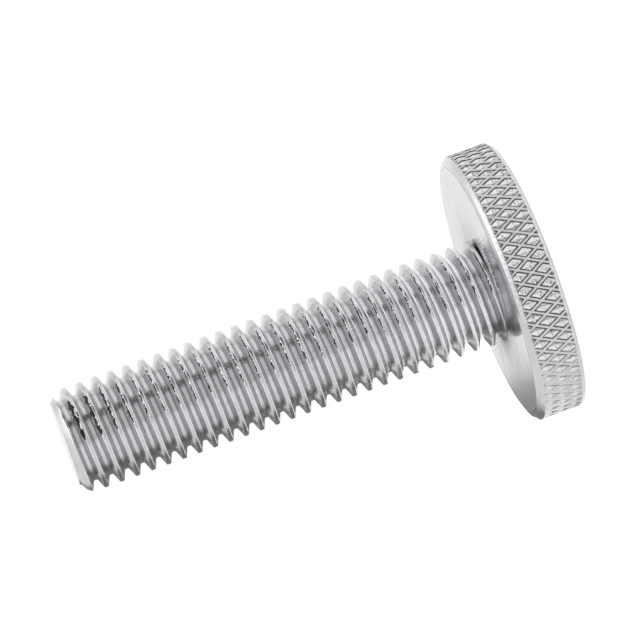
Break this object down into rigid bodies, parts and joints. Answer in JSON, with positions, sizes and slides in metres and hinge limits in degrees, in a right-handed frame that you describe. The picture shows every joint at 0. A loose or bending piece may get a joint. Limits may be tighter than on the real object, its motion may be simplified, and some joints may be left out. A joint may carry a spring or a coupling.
{
  "type": "knurled head screw",
  "caption": "Thumb screw with a flat knurled disc head on a fully threaded shank, turned by hand to clamp or adjust without a tool.",
  "frame": {"origin": "centre of the head's flat outer face, which the screw stands on", "axes": "+Z along the shank, from the head to the threaded tip; X and Y are alike, as the screw is round"},
  "size_m": [0.0256, 0.0256, 0.0455],
  "materials": {
    "turned_steel": "bright turned stainless steel, satin on the faces, with a cut thread and a cut diamond knurl"
  },
  "bodies": {
    "root": {"knurled_head_screw": "turned_steel"}
  },
  "joints": []
}
